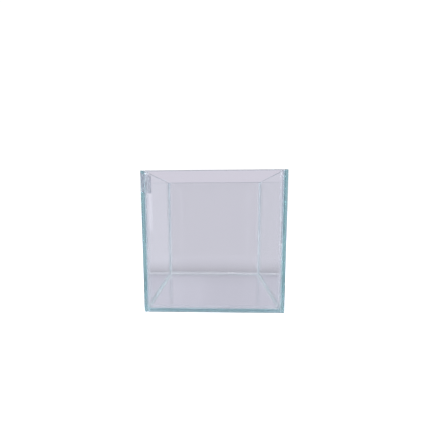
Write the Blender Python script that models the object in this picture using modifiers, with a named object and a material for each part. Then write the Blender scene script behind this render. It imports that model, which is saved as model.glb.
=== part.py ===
"""Rimless glass aquarium tank: a cube of five float glass panes bonded and sealed with clear silicone.

Metres, +Z up. The origin is the centre of the base, on the surface the tank stands on, and the
front pane faces -Y. The side panes run the whole depth, the front and back panes stand between
them, and the bottom pane lies inside all four walls, level with their lower edges.
"""

import math

import bmesh
import bpy
from mathutils import Matrix, Vector

# Overall size of the glass box
TANK_WIDTH = 0.200
TANK_DEPTH = 0.200
TANK_HEIGHT = 0.200

# Glass
GLASS_THICKNESS = 0.005
ARRIS = 0.0006  # flat ground off every sharp edge of a cut pane

# Silicone bonds between the panes
BOND_GAP = 0.0012  # distance between two bonded glass faces
BOND_RECESS = 0.0004  # how far a bond ends below the glass around it

# Tooled silicone seals along the inner corners
SEAL_LEG = 0.0050  # how far a seal reaches along each glass face
COVE_RADIUS = 0.0075  # radius of the tool that hollows the seal
COVE_POINTS = 8  # flats along the hollow
SEAL_TOP_GAP = 0.0010  # the upright seals end this far below the rim

# Blank label on the outside of the left pane, at its upper front corner
LABEL_LENGTH = 0.042
LABEL_HEIGHT = 0.026
LABEL_THICKNESS = 0.0002
LABEL_CORNER_RADIUS = 0.0015
LABEL_CORNER_POINTS = 6  # flats round each corner
LABEL_FROM_FRONT = 0.003
LABEL_FROM_TOP = 0.003

# Space kept between two pieces that touch on the real tank
CLEARANCE = 0.0003

# Edges sharper than this stay sharp when a rounded piece is shaded smooth
SHARP_ANGLE = math.radians(30)

# Faces that the pieces share
OUTER_X = TANK_WIDTH / 2
OUTER_Y = TANK_DEPTH / 2
INNER_X = OUTER_X - GLASS_THICKNESS
INNER_Y = OUTER_Y - GLASS_THICKNESS
BOTTOM_TOP = GLASS_THICKNESS


def clear_scene():
    """Removes every object that the file opens with."""
    for obj in list(bpy.data.objects):
        bpy.data.objects.remove(obj, do_unlink=True)


def new_collection(name):
    collection = bpy.data.collections.new(name)
    bpy.context.scene.collection.children.link(collection)
    return collection


def new_material(name, colour, roughness, transmission=0.0, ior=1.5):
    """A Principled BSDF with the part's colour."""
    material = bpy.data.materials.new(name)
    material.use_nodes = True
    shader = material.node_tree.nodes["Principled BSDF"]
    shader.inputs["Base Color"].default_value = (*colour, 1.0)
    shader.inputs["Roughness"].default_value = roughness
    shader.inputs["Metallic"].default_value = 0.0
    shader.inputs["Transmission Weight"].default_value = transmission
    shader.inputs["IOR"].default_value = ior
    return material


def add_block(name, low, high, material, collection):
    """A box between two corners, as an object at the box's centre."""
    low, high = Vector(low), Vector(high)
    mesh = bpy.data.meshes.new(name)
    shape = bmesh.new()
    bmesh.ops.create_cube(shape, size=1.0, matrix=Matrix.Diagonal((*(high - low), 1.0)))
    shape.to_mesh(mesh)
    shape.free()
    mesh.materials.append(material)
    block = bpy.data.objects.new(name, mesh)
    block.location = (low + high) / 2
    collection.objects.link(block)
    return block


def add_pane(name, low, high, material, collection):
    """A cut sheet of glass whose sharp edges are all ground to a small flat."""
    pane = add_block(name, low, high, material, collection)
    arris = pane.modifiers.new("arris", "BEVEL")
    arris.width = ARRIS
    arris.segments = 1
    arris.limit_method = "NONE"
    return pane


def add_panes(material, collection):
    """The bottom and the four walls, each made between its own two corners."""
    between_x = INNER_X - BOND_GAP
    between_y = INNER_Y - BOND_GAP
    add_pane(
        "bottom_pane",
        (-between_x, -between_y, 0),
        (between_x, between_y, GLASS_THICKNESS),
        material,
        collection,
    )
    for side, toward in (("left", -1), ("right", 1)):
        near, far = sorted((toward * INNER_X, toward * OUTER_X))
        add_pane(
            f"{side}_pane",
            (near, -OUTER_Y, 0),
            (far, OUTER_Y, TANK_HEIGHT),
            material,
            collection,
        )
    for side, toward in (("front", -1), ("back", 1)):
        near, far = sorted((toward * INNER_Y, toward * OUTER_Y))
        add_pane(
            f"{side}_pane",
            (-between_x, near, 0),
            (between_x, far, TANK_HEIGHT),
            material,
            collection,
        )


def add_corner_bonds(material, collection):
    """The upright silicone layers between the ends of the front and back panes and the side panes."""
    for across, toward_y in (("front", -1), ("back", 1)):
        near_y, far_y = sorted(
            (toward_y * (INNER_Y + BOND_RECESS), toward_y * (OUTER_Y - BOND_RECESS))
        )
        for side, toward_x in (("left", -1), ("right", 1)):
            near_x, far_x = sorted(
                (toward_x * (INNER_X - BOND_GAP + CLEARANCE), toward_x * (INNER_X - CLEARANCE))
            )
            add_block(
                f"corner_bond_{across}_{side}",
                (near_x, near_y, BOND_RECESS),
                (far_x, far_y, TANK_HEIGHT - BOND_RECESS),
                material,
                collection,
            )


def add_bottom_bonds(material, collection):
    """The silicone layers round the bottom pane, the front and back ones running the whole width."""
    layer_low = INNER_X - BOND_GAP + CLEARANCE
    layer_high = INNER_X - CLEARANCE
    half_depth = INNER_Y - BOND_GAP - CLEARANCE
    for side, toward in (("left", -1), ("right", 1)):
        near, far = sorted((toward * layer_low, toward * layer_high))
        add_block(
            f"bottom_bond_{side}",
            (near, -half_depth, BOND_RECESS),
            (far, half_depth, BOTTOM_TOP - BOND_RECESS),
            material,
            collection,
        )
    for side, toward in (("front", -1), ("back", 1)):
        near, far = sorted(
            (toward * (INNER_Y - BOND_GAP + CLEARANCE), toward * (INNER_Y - CLEARANCE))
        )
        add_block(
            f"bottom_bond_{side}",
            (-layer_high, near, BOND_RECESS),
            (layer_high, far, BOTTOM_TOP - BOND_RECESS),
            material,
            collection,
        )


def seal_outline():
    """A corner seal's section: two legs along the glass, joined by the hollow that the tool leaves."""
    half_chord = SEAL_LEG / math.sqrt(2)
    half_angle = math.asin(min(1.0, half_chord / COVE_RADIUS))
    centre = SEAL_LEG / 2 + COVE_RADIUS * math.cos(half_angle) / math.sqrt(2)
    outline = [Vector((0.0, 0.0))]
    for step in range(COVE_POINTS + 1):
        turn = math.radians(225) + half_angle * (1 - 2 * step / COVE_POINTS)
        outline.append(
            Vector((centre + COVE_RADIUS * math.cos(turn), centre + COVE_RADIUS * math.sin(turn)))
        )
    return outline


def extruded_mesh(name, outline, length):
    """A closed mesh of a flat outline in X and Y, extruded by length about the XY plane."""
    curve = bpy.data.curves.new(name, "CURVE")
    curve.dimensions = "2D"
    curve.fill_mode = "BOTH"
    curve.extrude = length / 2
    spline = curve.splines.new("POLY")
    spline.points.add(len(outline) - 1)
    for point, place in zip(spline.points, outline):
        point.co = (place.x, place.y, 0.0, 1.0)
    spline.use_cyclic_u = True
    guide = bpy.data.objects.new(name, curve)
    bpy.context.scene.collection.objects.link(guide)
    graph = bpy.context.evaluated_depsgraph_get()
    mesh = bpy.data.meshes.new_from_object(guide.evaluated_get(graph))
    bpy.data.objects.remove(guide, do_unlink=True)
    bpy.data.curves.remove(curve)
    shape = bmesh.new()
    shape.from_mesh(mesh)
    bmesh.ops.remove_doubles(shape, verts=shape.verts, dist=1e-6)
    bmesh.ops.recalc_face_normals(shape, faces=shape.faces)
    shape.to_mesh(mesh)
    shape.free()
    mesh.name = name
    return mesh


def smooth(mesh):
    """Shades a piece smooth but for its real edges."""
    mesh.shade_smooth()
    mesh.set_sharp_from_angle(angle=SHARP_ANGLE)


def mitre(mesh, half_length):
    """Cuts both ends of a seal at 45 degrees, so that its corner line is the longest."""
    shape = bmesh.new()
    shape.from_mesh(mesh)
    for end in (-1, 1):
        everything = shape.verts[:] + shape.edges[:] + shape.faces[:]
        cut = bmesh.ops.bisect_plane(
            shape,
            geom=everything,
            plane_co=(0.0, 0.0, end * half_length),
            plane_no=Vector((1.0, 0.0, end)).normalized(),
            clear_outer=True,
        )
        rim = [item for item in cut["geom_cut"] if isinstance(item, bmesh.types.BMEdge)]
        bmesh.ops.holes_fill(shape, edges=rim, sides=0)
    bmesh.ops.recalc_face_normals(shape, faces=shape.faces)
    shape.to_mesh(mesh)
    shape.free()


def add_upright_seals(material, collection):
    """The seals up the four inner corners, standing on the seals round the bottom."""
    start = BOTTOM_TOP + SEAL_LEG + 2 * CLEARANCE
    length = TANK_HEIGHT - SEAL_TOP_GAP - start
    corner_x = INNER_X - CLEARANCE
    corner_y = INNER_Y - CLEARANCE
    corners = (
        ("front_left", (-corner_x, -corner_y), 0),
        ("front_right", (corner_x, -corner_y), 90),
        ("back_right", (corner_x, corner_y), 180),
        ("back_left", (-corner_x, corner_y), 270),
    )
    for name, (x, y), turn in corners:
        mesh = extruded_mesh(f"upright_seal_{name}", seal_outline(), length)
        smooth(mesh)
        mesh.materials.append(material)
        seal = bpy.data.objects.new(f"upright_seal_{name}", mesh)
        seal.location = (x, y, start + length / 2)
        seal.rotation_euler = (0.0, 0.0, math.radians(turn))
        collection.objects.link(seal)


def add_bottom_seals(material, collection):
    """The seals round the floor of the tank, mitred where they meet."""
    level = BOTTOM_TOP + CLEARANCE
    corner_x = INNER_X - CLEARANCE
    corner_y = INNER_Y - CLEARANCE
    sides = (
        ("front", (0.0, -corner_y), corner_x, 0),
        ("right", (corner_x, 0.0), corner_y, 90),
        ("back", (0.0, corner_y), corner_x, 180),
        ("left", (-corner_x, 0.0), corner_y, 270),
    )
    for name, (x, y), half_length, turn in sides:
        mesh = extruded_mesh(f"bottom_seal_{name}", seal_outline(), 2 * half_length)
        mitre(mesh, half_length - CLEARANCE / math.sqrt(2))
        # One leg of the section now lies on the floor, the other stands against the wall.
        lay_down = Matrix(((0, 0, 1, 0), (1, 0, 0, 0), (0, 1, 0, 0), (0, 0, 0, 1)))
        mesh.transform(lay_down)
        smooth(mesh)
        mesh.materials.append(material)
        seal = bpy.data.objects.new(f"bottom_seal_{name}", mesh)
        seal.location = (x, y, level)
        seal.rotation_euler = (0.0, 0.0, math.radians(turn))
        collection.objects.link(seal)


def label_outline():
    """A rectangle with round corners, centred on the origin."""
    across = LABEL_LENGTH / 2 - LABEL_CORNER_RADIUS
    up = LABEL_HEIGHT / 2 - LABEL_CORNER_RADIUS
    outline = []
    for quarter, (x, y) in enumerate(((across, up), (-across, up), (-across, -up), (across, -up))):
        for step in range(LABEL_CORNER_POINTS + 1):
            turn = math.radians(90) * (quarter + step / LABEL_CORNER_POINTS)
            outline.append(
                Vector((x + LABEL_CORNER_RADIUS * math.cos(turn), y + LABEL_CORNER_RADIUS * math.sin(turn)))
            )
    return outline


def add_label(material, collection):
    """The blank label, a thin film on the left pane's outer face."""
    mesh = extruded_mesh("corner_label", label_outline(), LABEL_THICKNESS)
    smooth(mesh)
    mesh.materials.append(material)
    label = bpy.data.objects.new("corner_label", mesh)
    label.location = (
        -OUTER_X - CLEARANCE - LABEL_THICKNESS / 2,
        -OUTER_Y + LABEL_FROM_FRONT + LABEL_LENGTH / 2,
        TANK_HEIGHT - LABEL_FROM_TOP - LABEL_HEIGHT / 2,
    )
    label.rotation_euler = (math.radians(90), 0.0, math.radians(-90))
    collection.objects.link(label)


def main():
    clear_scene()
    tank = new_collection("aquarium_tank")
    glass = new_material("float_glass", (0.80, 0.92, 0.92), 0.02, transmission=0.95, ior=1.52)
    silicone = new_material("clear_silicone", (0.82, 0.87, 0.90), 0.35, transmission=0.6, ior=1.41)
    film = new_material("label_film", (0.50, 0.53, 0.61), 0.45)
    add_panes(glass, tank)
    add_corner_bonds(silicone, tank)
    add_bottom_bonds(silicone, tank)
    add_upright_seals(silicone, tank)
    add_bottom_seals(silicone, tank)
    add_label(film, tank)


main()
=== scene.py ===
import math

import bpy
from mathutils import Euler, Matrix, Vector


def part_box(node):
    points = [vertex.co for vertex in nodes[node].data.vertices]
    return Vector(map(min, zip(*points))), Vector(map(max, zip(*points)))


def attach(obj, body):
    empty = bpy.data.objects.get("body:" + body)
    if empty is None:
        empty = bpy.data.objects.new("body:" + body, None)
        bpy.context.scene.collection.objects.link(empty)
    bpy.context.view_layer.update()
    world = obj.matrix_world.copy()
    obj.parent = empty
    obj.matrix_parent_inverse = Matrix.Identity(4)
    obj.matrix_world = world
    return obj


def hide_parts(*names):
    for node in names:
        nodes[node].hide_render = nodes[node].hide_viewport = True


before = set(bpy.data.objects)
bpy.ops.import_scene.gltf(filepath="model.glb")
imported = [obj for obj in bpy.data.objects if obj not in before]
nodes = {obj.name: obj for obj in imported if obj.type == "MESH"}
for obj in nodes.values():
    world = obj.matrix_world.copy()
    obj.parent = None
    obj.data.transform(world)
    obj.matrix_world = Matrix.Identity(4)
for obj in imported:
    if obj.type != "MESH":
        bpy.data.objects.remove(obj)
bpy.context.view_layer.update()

print("frame loaded:", len(nodes), "CAD nodes")

# where the panes are, all taken from the CAD
leftLow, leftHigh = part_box("left_pane")
rightLow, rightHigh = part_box("right_pane")
frontLow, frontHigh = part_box("front_pane")
backLow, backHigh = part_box("back_pane")
baseLow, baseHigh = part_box("bottom_pane")
tankLow, tankHigh = leftLow.copy(), rightHigh.copy()
tankWidth = tankHigh.x - tankLow.x
middleX = (tankLow.x + tankHigh.x) / 2
middleY = (tankLow.y + tankHigh.y) / 2
insideLow = Vector((leftHigh.x, frontHigh.y, baseHigh.z))
insideHigh = Vector((rightLow.x, backLow.y, tankHigh.z))
# silicone and label reach this far into the glass, so that light crosses without an air gap
contact = 0.00005


def clearSelection():
    if bpy.context.mode != "OBJECT":
        bpy.ops.object.mode_set(mode="OBJECT")
    bpy.ops.object.select_all(action="DESELECT")


def pick(piece):
    clearSelection()
    piece.select_set(True)
    bpy.context.view_layer.objects.active = piece


def addBox(name, low, high):
    clearSelection()
    bpy.ops.mesh.primitive_cube_add(size=1, location=(low + high) / 2, scale=high - low)
    piece = bpy.context.object
    piece.name = piece.data.name = name
    bpy.ops.object.transform_apply(location=True, rotation=True, scale=True)
    return piece


def editFaces(piece, wanted):  # opens edit mode with the faces whose middle and normal are wanted
    pick(piece)
    mesh = piece.data
    for part in (*mesh.vertices, *mesh.edges, *mesh.polygons):
        part.select = False
    bpy.context.tool_settings.mesh_select_mode = (False, False, True)
    for face in mesh.polygons:
        face.select = wanted(face.center, face.normal)
    bpy.ops.object.mode_set(mode="EDIT")


def editEdges(piece, wanted):  # opens edit mode with the edges whose two ends are wanted
    pick(piece)
    mesh = piece.data
    for part in (*mesh.vertices, *mesh.edges, *mesh.polygons):
        part.select = False
    bpy.context.tool_settings.mesh_select_mode = (False, True, False)
    for edge in mesh.edges:
        a, b = (mesh.vertices[i].co for i in edge.vertices)
        edge.select = wanted(a, b)
    bpy.ops.object.mode_set(mode="EDIT")


def closeEdit():
    bpy.ops.object.mode_set(mode="OBJECT")


def sliceAlong(piece, axis, start, stop, count):  # cuts across the piece at even steps along one axis
    pick(piece)
    bpy.ops.object.mode_set(mode="EDIT")
    normal = [0.0, 0.0, 0.0]
    normal[axis] = 1.0
    for step in range(1, count):
        place = [0.0, 0.0, 0.0]
        place[axis] = start + (stop - start) * step / count
        bpy.ops.mesh.select_all(action="SELECT")
        bpy.ops.mesh.bisect(plane_co=place, plane_no=normal)
    closeEdit()


def waver(piece, name, size, strength):  # the small unevenness of a hand-run bead
    texture = bpy.data.textures.new(name, "CLOUDS")
    texture.noise_scale = size
    texture.noise_depth = 2
    modifier = piece.modifiers.new(name, "DISPLACE")
    modifier.texture = texture
    modifier.texture_coords = "LOCAL"
    modifier.mid_level = 0.5
    modifier.strength = strength
    pick(piece)
    bpy.ops.object.modifier_apply(modifier=name)


def smoothen(piece, degrees):
    pick(piece)
    bpy.ops.object.shade_smooth_by_angle(angle=math.radians(degrees))


def finishPiece(piece, slotName, *standsFor):
    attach(piece, "root")
    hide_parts(*standsFor)


class Wire:  # one output of a node, so that sums on it can be written as plain expressions
    def __init__(self, tree, socket=None):
        self.tree, self.socket = tree, socket

    def node(self, kind, settings, sockets, out=0):
        made = self.tree.nodes.new(kind)
        for name, value in settings.items():
            setattr(made, name, value)
        for name, value in sockets.items():
            if isinstance(value, Wire):
                self.tree.links.new(value.socket, made.inputs[name])
            else:
                made.inputs[name].default_value = value
        return Wire(self.tree, made.outputs[out] if made.outputs else None)

    def maths(self, operation, a, b=0.0):
        return self.node("ShaderNodeMath", {"operation": operation}, {0: a, 1: b})

    def __add__(self, other):
        return self.maths("ADD", self, other)

    def __radd__(self, other):
        return self.maths("ADD", other, self)

    def __sub__(self, other):
        return self.maths("SUBTRACT", self, other)

    def __rsub__(self, other):
        return self.maths("SUBTRACT", other, self)

    def __mul__(self, other):
        return self.maths("MULTIPLY", self, other)

    def __rmul__(self, other):
        return self.maths("MULTIPLY", other, self)

    def __gt__(self, other):
        return self.maths("GREATER_THAN", self, other)

    def __lt__(self, other):
        return self.maths("LESS_THAN", self, other)

    def __abs__(self):
        return self.maths("ABSOLUTE", self)

    def atMost(self, other):
        return self.maths("MINIMUM", self, other)

    def atLeast(self, other):
        return self.maths("MAXIMUM", self, other)

    def spread(self, fromLow, fromHigh, toLow, toHigh):
        return self.node(
            "ShaderNodeMapRange",
            {"interpolation_type": "SMOOTHSTEP"},
            {0: self, 1: fromLow, 2: fromHigh, 3: toLow, 4: toHigh},
        )


def mixColour(factor, first, second):
    return factor.node("ShaderNodeMix", {"data_type": "RGBA"}, {0: factor, 6: first, 7: second}, 2)


def axisParts(vector):
    return [vector.node("ShaderNodeSeparateXYZ", {}, {0: vector}, axis) for axis in "XYZ"]


def newMaterial(name):
    material = bpy.data.materials.new(name)
    material.use_nodes = True
    material.node_tree.nodes.clear()
    return material, Wire(material.node_tree)


def noise(place, scale, detail=2.0, roughness=0.5, stretch=(1, 1, 1)):
    place = place.node("ShaderNodeMapping", {}, {"Vector": place, "Scale": stretch})
    settings = {"Vector": place, "Scale": scale, "Detail": detail, "Roughness": roughness}
    return place.node("ShaderNodeTexNoise", {}, settings, "Fac")


def dress(piece, material):
    piece.data.materials.clear()
    piece.data.materials.append(material)


# float glass: clean faces with faint smears, wheel-finished edges, painted shade on the arrises in the
# upper half of the tank and a green depth
glassLook = {
    "ior": 1.52,
    "clean": (0.985, 0.994, 0.992, 1),
    "smeared": (0.965, 0.975, 0.975, 1),
    "depthColour": (0.0, 0.583, 0.571, 1),  # red is lost first on a long way through
    "density": 4.2,  # per metre
    # painted shade: the grey of the arrises in the upper half, which stands in for the dark line at the rim
    "ground": (0.42, 0.43, 0.47, 1),
    "smearRoughness": 0.010,
    "edgeRoughness": 0.012,
    "arrisRoughness": 0.30,
    "throughShadow": (0.93, 0.95, 0.95, 1),
}


def makeGlass(name, thinAxis):
    look = glassLook
    material, start = newMaterial(name)
    place = start.node("ShaderNodeTexCoord", {}, {}, "Object")
    facing = [abs(part) for part in axisParts(start.node("ShaderNodeTexCoord", {}, {}, "Normal"))]
    flatOn = facing[0].atLeast(facing[1]).atLeast(facing[2])
    arris = flatOn < 0.95
    face = facing[thinAxis] > 0.95
    edge = (1 - face) * (1 - arris)

    smears = noise(place, 22, 4, 0.62, (1, 1, 0.35)).spread(0.52, 0.78, 0, 1)
    specks = noise(place, 260, 3, 0.7).spread(0.70, 0.80, 0, 1)
    handled = (smears * 0.7 + specks * 0.3) * face
    lines = [1.0, 1.0, 1.0]
    lines[thinAxis] = 14.0  # the wheel leaves its lines along the edge
    ground = noise(place, 90, 3, 0.6, lines)

    roughness = handled * look["smearRoughness"]
    roughness = roughness + edge * (ground * look["edgeRoughness"]) + arris * look["arrisRoughness"]
    colour = mixColour(handled, look["clean"], look["smeared"])
    # painted shade: the arrises in the upper half of the tank turn grey, varied by the wheel's lines
    paintedRimShade = arris * (axisParts(place)[2] > (tankLow.z + tankHigh.z) / 2)
    colour = mixColour(paintedRimShade * (0.7 + ground * 0.6), colour, look["ground"])
    wave = noise(place, 9, 1, 0.4) * face * 0.6 + ground * (1 - face) * 0.08
    bump = start.node("ShaderNodeBump", {}, {"Height": wave, "Strength": 0.25, "Distance": 0.0001}, 0)

    glass = start.node(
        "ShaderNodeBsdfPrincipled",
        {},
        {
            "Base Color": colour,
            "Roughness": roughness,
            "IOR": look["ior"],
            "Transmission Weight": 1.0,
            "Normal": bump,
        },
    )
    clear = start.node("ShaderNodeBsdfTransparent", {}, {"Color": look["throughShadow"]})
    shadowRay = start.node("ShaderNodeLightPath", {}, {}, "Is Shadow Ray")
    surface = start.node("ShaderNodeMixShader", {}, {0: shadowRay, 1: glass, 2: clear})
    green = {"Color": look["depthColour"], "Density": look["density"]}
    inside = start.node("ShaderNodeVolumeAbsorption", {}, green)
    start.node("ShaderNodeOutputMaterial", {}, {"Surface": surface, "Volume": inside})
    return material


thinAxes = {"left_pane": 0, "right_pane": 0, "front_pane": 1, "back_pane": 1, "bottom_pane": 2}
glassFinish = [makeGlass("float_glass_" + axis, i) for i, axis in enumerate("xyz")]
for paneName, thinAxis in thinAxes.items():
    dress(nodes[paneName], glassFinish[thinAxis])
print("glass dressed:", len(thinAxes), "panes")

# clear silicone, the seals softer and the bonds tinted like the glass edges beside them
sealLook = {
    "ior": 1.05,  # chosen for its look, far below real silicone's 1.41
    "clear": (0.97, 0.97, 0.98, 1),
    "cloudy": (0.92, 0.93, 0.95, 1),
    "clouding": 0.8,
    "through": 0.82,  # the share of light that passes
    "roughness": 0.12,
    "toolRoughness": 0.10,
    "skin": 1.0,  # the shine that the tool leaves on the cove
    "skinRoughness": 0.06,
}
bondLook = {
    "ior": 1.50,  # chosen for its look, above real silicone's 1.41
    "clear": (0.84, 0.98, 1.00, 1),  # a tint chosen to go with the green glass edges
    "cloudy": (0.80, 0.93, 0.95, 1),
    "clouding": 0.4,
    "through": 0.74,
    "roughness": 0.04,
    "toolRoughness": 0.10,
    "skin": 0.0,
    "skinRoughness": 0.06,
}
siliconeShadow = (0.90, 0.92, 0.93, 1)


def makeSilicone(name, look):
    material, start = newMaterial(name)
    place = start.node("ShaderNodeTexCoord", {}, {}, "Object")
    clouds = noise(place, 60, 3, 0.6).spread(0.45, 0.75, 0, 1)
    bubbles = place.node("ShaderNodeTexVoronoi", {}, {"Vector": place, "Scale": 420.0}, "Distance")
    bubbles = bubbles.spread(0.05, 0.16, 1, 0) * (noise(place, 35, 2) > 0.60)
    ripples = noise(place, 150, 2, 0.5)
    facing = [abs(part) for part in axisParts(start.node("ShaderNodeTexCoord", {}, {}, "Normal"))]
    tooled = facing[0].atLeast(facing[1]).atLeast(facing[2]) < 0.97  # not the faces that lie on glass
    colour = mixColour((clouds * look["clouding"] + bubbles * 0.4).atMost(1), look["clear"], look["cloudy"])
    bump = start.node("ShaderNodeBump", {}, {"Height": ripples, "Strength": 0.15, "Distance": 0.0002})
    rubber = start.node(
        "ShaderNodeBsdfPrincipled",
        {},
        {
            "Base Color": colour,
            "Roughness": clouds * look["toolRoughness"] + look["roughness"],
            "IOR": look["ior"],
            "Transmission Weight": look["through"],
            "Coat Weight": tooled * look["skin"],
            "Coat Roughness": look["skinRoughness"],
            "Normal": bump,
        },
    )
    clear = start.node("ShaderNodeBsdfTransparent", {}, {"Color": siliconeShadow})
    shadowRay = start.node("ShaderNodeLightPath", {}, {}, "Is Shadow Ray")
    surface = start.node("ShaderNodeMixShader", {}, {0: shadowRay, 1: rubber, 2: clear})
    start.node("ShaderNodeOutputMaterial", {}, {"Surface": surface})
    return material


sealFinish = makeSilicone("clear_silicone_seal", sealLook)
bondFinish = makeSilicone("clear_silicone_bond", bondLook)

# the tooled bead along all the inner corners
beadShape = {
    "toolRadius": 0.0075,
    "toolAbove": 0.02,  # the tool stands this far out of the top
    "reach": 0.0050,  # from the corner to the feathered edge, along each pane
    "coveSteps": 12,
    "slices": 26,
    "unevenSize": 0.022,
    "uneven": 0.00008,
}


def makeBead():
    shape = beadShape
    radius, reach = shape["toolRadius"], shape["reach"]
    # the tool's round meets a pane at the bead's edge, so its flats lie a little way into the glass
    centre = (reach + math.sqrt(2 * radius * radius - reach * reach)) / 2
    over = radius - centre
    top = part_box("upright_seal_front_left")[1].z
    inner = Vector((contact, contact, contact))
    beadHigh = Vector((insideHigh.x + contact, insideHigh.y + contact, top))
    bead = addBox("silicone_seal", insideLow - inner, beadHigh)
    toolLow = insideLow - Vector((over, over, over))
    toolHigh = Vector((insideHigh.x + over, insideHigh.y + over, top + shape["toolAbove"]))
    tool = addBox("seal_tool", toolLow, toolHigh)

    def standsOrLies(a, b):
        return abs(a.z - b.z) > 0.01 or max(a.z, b.z) < toolLow.z + 0.001

    editEdges(tool, standsOrLies)
    bpy.ops.mesh.bevel(offset=radius, segments=shape["coveSteps"], affect="EDGES")
    closeEdit()
    for axis in range(3):
        sliceAlong(tool, axis, toolLow[axis], toolHigh[axis], shape["slices"])
    waver(tool, "hand_run", shape["unevenSize"], shape["uneven"])
    cut = bead.modifiers.new("tooled", "BOOLEAN")
    cut.operation, cut.object, cut.solver = "DIFFERENCE", tool, "EXACT"
    pick(bead)
    bpy.ops.object.modifier_apply(modifier="tooled")
    bpy.data.objects.remove(tool)
    smoothen(bead, 30)
    dress(bead, sealFinish)
    sides = ("front", "back", "left", "right")
    corners = ("front_left", "front_right", "back_left", "back_right")
    covered = ["bottom_seal_" + side for side in sides] + ["upright_seal_" + corner for corner in corners]
    finishPiece(bead, "seal_silicone", *covered)
    return bead


bead = makeBead()
print("bead made:", len(bead.data.polygons), "faces")

# bonds: the thin cured layer between two panes
bondShape = {
    "hollow": 0.00025,  # how far the middle of the outer face sinks in
    "slices": 40,
    "slicesAcross": 4,
    "unevenSize": 0.014,
    "uneven": 0.00007,
}


def makeBond(name, thinAxis, outAxis, outSide):
    # fills the gap between two panes across thinAxis, and its outer face sinks in along outAxis
    shape = bondShape
    low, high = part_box(name)
    gap = frontLow.x - leftHigh.x
    middle = (low[thinAxis] + high[thinAxis]) / 2
    low[thinAxis], high[thinAxis] = middle - gap / 2 - contact, middle + gap / 2 + contact
    longAxis = 3 - thinAxis - outAxis
    bond = addBox("bond_of_" + name, low, high)
    sliceAlong(bond, longAxis, low[longAxis], high[longAxis], shape["slices"])
    sliceAlong(bond, thinAxis, low[thinAxis], high[thinAxis], shape["slicesAcross"])
    waver(bond, name + "_run", shape["unevenSize"], shape["uneven"])
    outer = high[outAxis] if outSide > 0 else low[outAxis]

    def sunk(middleOfFace, normal):
        onOuter = abs(middleOfFace[outAxis] - outer) < 0.0002 and normal[outAxis] * outSide > 0.8
        return onOuter and abs(middleOfFace[thinAxis] - middle) < gap * 0.3

    editFaces(bond, sunk)
    move = [0.0, 0.0, 0.0]
    move[outAxis] = -outSide * shape["hollow"]
    bpy.ops.transform.translate(value=move)
    closeEdit()
    smoothen(bond, 50)
    dress(bond, bondFinish)
    finishPiece(bond, "bond_silicone", name)


for end, outSide in (("front", -1), ("back", 1)):
    for side in ("left", "right"):
        makeBond("corner_bond_" + end + "_" + side, 0, 1, outSide)
    makeBond("bottom_bond_" + end, 1, 2, -1)
for side in ("left", "right"):
    makeBond("bottom_bond_" + side, 0, 2, -1)
print("bonds made: 8")

# blank label on the left pane
labelShape = {"cornerRadius": 0.0015, "cornerSteps": 8, "border": 0.0014, "rimBevel": 0.00006}
labelLook = {
    "film": (0.80, 0.81, 0.84, 1),
    "border": (0.70, 0.715, 0.75, 1),
    "backing": (0.84, 0.87, 0.94, 1),
    "roughness": 0.42,
}


def makeLabel():
    shape, look = labelShape, labelLook
    low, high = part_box("corner_label")
    high.x = leftLow.x + contact
    label = addBox("blank_label", low, high)

    def corner(a, b):
        return abs(a.x - b.x) > (high.x - low.x) * 0.9

    editEdges(label, corner)
    bpy.ops.mesh.bevel(offset=shape["cornerRadius"], segments=shape["cornerSteps"], affect="EDGES")
    closeEdit()
    editFaces(label, lambda middle, normal: normal.x < -0.9)
    bpy.ops.mesh.bevel(offset=shape["rimBevel"], segments=2, affect="EDGES")
    closeEdit()
    editFaces(label, lambda middle, normal: normal.x < -0.99)
    bpy.ops.mesh.inset(thickness=shape["border"], depth=0)
    closeEdit()
    smoothen(label, 40)

    material, start = newMaterial("label_film")
    place = start.node("ShaderNodeTexCoord", {}, {}, "Object")
    x, y, z = axisParts(place)
    fromFront = (y - low.y).atMost(high.y - y)
    fromTop = (z - low.z).atMost(high.z - z)
    inBorder = fromFront.atMost(fromTop).spread(shape["border"] * 0.8, shape["border"] * 1.2, 1, 0)
    fibres = noise(place, 1600, 4, 0.7)
    patches = noise(place, 120, 3, 0.5)
    backSide = x > (low.x + high.x) / 2
    colour = mixColour(inBorder * 0.7 + fibres * 0.15, look["film"], look["border"])
    colour = mixColour(backSide * (0.85 + patches * 0.15), colour, look["backing"])
    bump = start.node("ShaderNodeBump", {}, {"Height": fibres, "Strength": 0.2, "Distance": 0.00005})
    film = start.node(
        "ShaderNodeBsdfPrincipled",
        {},
        {
            "Base Color": colour,
            "Roughness": look["roughness"] + (patches - 0.5) * 0.2,
            "Normal": bump,
        },
    )
    start.node("ShaderNodeOutputMaterial", {}, {"Surface": film})
    dress(label, material)
    finishPiece(label, "label_film", "corner_label")


makeLabel()
print("label made")

# studio: a pale floor, a card behind the tank and two lamps
studio = {
    "seenWhite": (1.05, 1.05, 1.05, 1),  # the room where the camera sees it bare
    "around": (0.715, 0.680, 0.775, 1),  # the room seen through the glass, and its light
    "mirrored": (0.05, 0.05, 0.055, 1),  # the dim room in front, which the glass mirrors
    "floorThrough": (0.620, 0.588, 0.692, 1),
    "floorWhite": (0.92, 0.92, 0.92, 1),
    "floorGlow": 0.5,
    "floorSize": 12.0,
    "floorGap": 0.0002,
    "footShade": 0.16,  # how much painted shade darkens the floor towards the card
    "footDepth": 0.042,
    "cardHeight": 0.600,
    "cardBehind": 0.008,
    "cardHalfWidth": 0.6,
    "cardThickness": 0.001,
    "cardShade": 0.42,  # how dark the painted shade at its foot is
    "cardRise": 0.045,  # where the shade ends
    "cardFade": 2.2,
    "cardGap": 1.35,  # lifts the shade level with the top of the bottom pane
    "sideLift": 0.14,  # the left pane mirrors a brighter part of the room
    "windowLift": 0.34,
    "window": ((-0.0560, -0.0410), (0.1020, 0.1770)),  # its place across and up the card
}
backY = tankHigh.y + studio["cardBehind"]


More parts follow.
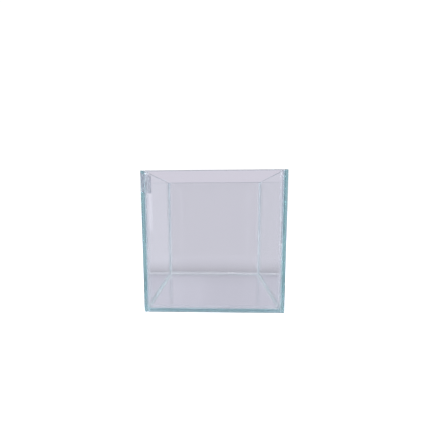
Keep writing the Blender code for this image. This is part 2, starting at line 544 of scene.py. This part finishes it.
def mirroredOnce(start):  # or twice, by the glass
    depth = start.node("ShaderNodeLightPath", {}, {}, "Glossy Depth")
    return (depth > 0.5) * (depth < 2.5)


def seenBare(start):  # not through the glass, nor mirrored by it
    return start.node("ShaderNodeLightPath", {}, {}, "Is Camera Ray")


def makeWorld():
    world = bpy.data.worlds.new("studio")
    bpy.context.scene.world = world
    world.use_nodes = True
    world.cycles.sampling_method = "NONE"  # an even glow is found well enough by the rays themselves
    world.node_tree.nodes.clear()
    start = Wire(world.node_tree)
    aim = axisParts(start.node("ShaderNodeTexCoord", {}, {}, "Generated"))[1]
    dim = mirroredOnce(start) * aim.spread(-0.3, 0.1, 1, 0)
    colour = mixColour(dim, studio["around"], studio["mirrored"])
    colour = mixColour(seenBare(start), colour, studio["seenWhite"])
    light = start.node("ShaderNodeBackground", {}, {"Color": colour, "Strength": 1.0})
    start.node("ShaderNodeOutputWorld", {}, {"Surface": light})


def makeFloor():
    clearSelection()
    place = (middleX, middleY, tankLow.z - studio["floorGap"])
    bpy.ops.mesh.primitive_plane_add(size=studio["floorSize"], location=place)
    floor = bpy.context.object
    floor.name = "floor"
    material, start = newMaterial("pale_floor")
    place = start.node("ShaderNodeTexCoord", {}, {}, "Object")
    alongY = axisParts(place)[1] + middleY
    away = start.node("ShaderNodeVectorMath", {"operation": "LENGTH"}, {0: place}, "Value")
    far = away.spread(0.25, 2.0, 0, 1)
    lit = start.node("ShaderNodeBsdfDiffuse", {}, {"Color": studio["floorWhite"]})
    glow = start.node("ShaderNodeEmission", {}, {"Strength": studio["floorGlow"]})
    seen = start.node("ShaderNodeAddShader", {}, {0: lit, 1: glow})
    # painted shade on the floor, deepest at the card's foot
    near = ((backY - alongY) * (1 / studio["footDepth"])).atMost(1).atLeast(0)
    shade = 1 - (1 - near) * (alongY < backY) * studio["footShade"]
    colour = mixColour(shade, (0, 0, 0, 1), mixColour(far, studio["floorThrough"], studio["around"]))
    dim = mirroredOnce(start) * (alongY < tankLow.y)
    colour = mixColour(dim, colour, studio["mirrored"])
    through = start.node("ShaderNodeEmission", {}, {"Color": colour, "Strength": 1.0})
    surface = start.node("ShaderNodeMixShader", {}, {0: seenBare(start), 1: through, 2: seen})
    start.node("ShaderNodeOutputMaterial", {}, {"Surface": surface})
    dress(floor, material)


def makeCard(name, low, high):
    # a card with painted shade at its foot, above the bottom pane's level; it shows only through the glass
    card = addBox(name, low, high)
    material, start = newMaterial(name)
    place = start.node("ShaderNodeTexCoord", {}, {}, "Object")
    across, _, up = axisParts(place)
    height = ((up - tankLow.z) * (1 / studio["cardRise"])).atMost(1)
    shade = place.maths("POWER", 1 - height, studio["cardFade"]) * studio["cardShade"]
    shade = 1 - shade * up.spread(baseHigh.z - 0.002, baseHigh.z, 0, 1)
    shade = shade * up.spread(baseHigh.z - 0.002, baseHigh.z, studio["cardGap"], 1)
    (west, east), (foot, head) = studio["window"]
    window = across.spread(west - 0.002, west + 0.001, 0, 1)
    window = window * across.spread(east - 0.001, east + 0.002, 1, 0)
    window = window * up.spread(foot - 0.008, foot + 0.002, 0, 1)
    window = window * up.spread(head - 0.001, head + 0.002, 1, 0)
    lift = across.spread(-0.04, 0.0, 1, 0) * studio["sideLift"] + window * studio["windowLift"]
    lift = lift * mirroredOnce(start) + 1
    colour = mixColour(shade, (0, 0, 0, 1), studio["around"])
    glow = start.node("ShaderNodeEmission", {}, {"Color": colour, "Strength": lift})
    start.node("ShaderNodeOutputMaterial", {}, {"Surface": glow})
    dress(card, material)
    card.visible_camera = card.visible_diffuse = card.visible_glossy = card.visible_shadow = False


def makeLamp(name, place, target, width, height, power, shines):
    clearSelection()
    bpy.ops.object.light_add(type="AREA", location=place)
    lamp = bpy.context.object
    lamp.name = name
    lamp.data.shape = "RECTANGLE"
    lamp.data.size, lamp.data.size_y = width, height
    lamp.data.energy = power
    lamp.rotation_euler = (Vector(target) - Vector(place)).to_track_quat("-Z", "Y").to_euler()
    lamp.visible_camera = lamp.visible_transmission = False
    lamp.visible_diffuse, lamp.visible_glossy = not shines, shines
    lamp.data.cycles.use_multiple_importance_sampling = False  # sampled from the lamp only


makeWorld()
makeFloor()
cardLow = Vector((-studio["cardHalfWidth"], backY, tankLow.z))
cardSize = Vector((2 * studio["cardHalfWidth"], studio["cardThickness"], studio["cardHeight"]))
makeCard("card_back", cardLow, cardLow + cardSize)
makeLamp("top_box", (-0.3, -0.4, 1.5), (0, 0, 0.1), 1.4, 1.0, 16, False)
makeLamp("side_strip", (1.3, -0.25, 0.70), (0, 0.1, 0.70), 0.5, 1.0, 5, True)

# camera
cameraPlace = {
    "lens": 21.79,
    "shift": (0.0207, 0.0428),
    "beside": 0.012,  # these three in tank widths, from the middle of the base and the front face
    "before": 1.788,
    "above": 0.762,
    "down": 6.14,  # degrees
    "left": 2.06,
    "roll": -0.25,
}


def makeCamera():
    look = cameraPlace
    clearSelection()
    bpy.ops.object.camera_add()
    camera = bpy.context.object
    camera.data.lens = look["lens"]
    camera.data.shift_x, camera.data.shift_y = look["shift"]
    place = Vector((
        middleX + look["beside"] * tankWidth,
        tankLow.y - look["before"] * tankWidth,
        tankLow.z + look["above"] * tankWidth,
    ))
    turn = Euler((math.radians(90 - look["down"]), 0, math.radians(look["left"]))).to_matrix()
    roll = Matrix.Rotation(math.radians(look["roll"]), 3, "Z")
    camera.matrix_world = Matrix.Translation(place) @ (turn @ roll).to_4x4()
    camera.data.clip_start = 0.01
    bpy.context.scene.camera = camera


makeCamera()
scene = bpy.context.scene
scene.view_settings.view_transform = "Standard"
scene.cycles.max_bounces = 32
scene.cycles.glossy_bounces = 24
scene.cycles.transmission_bounces = 24
scene.cycles.transparent_max_bounces = 32
print("studio and camera made")
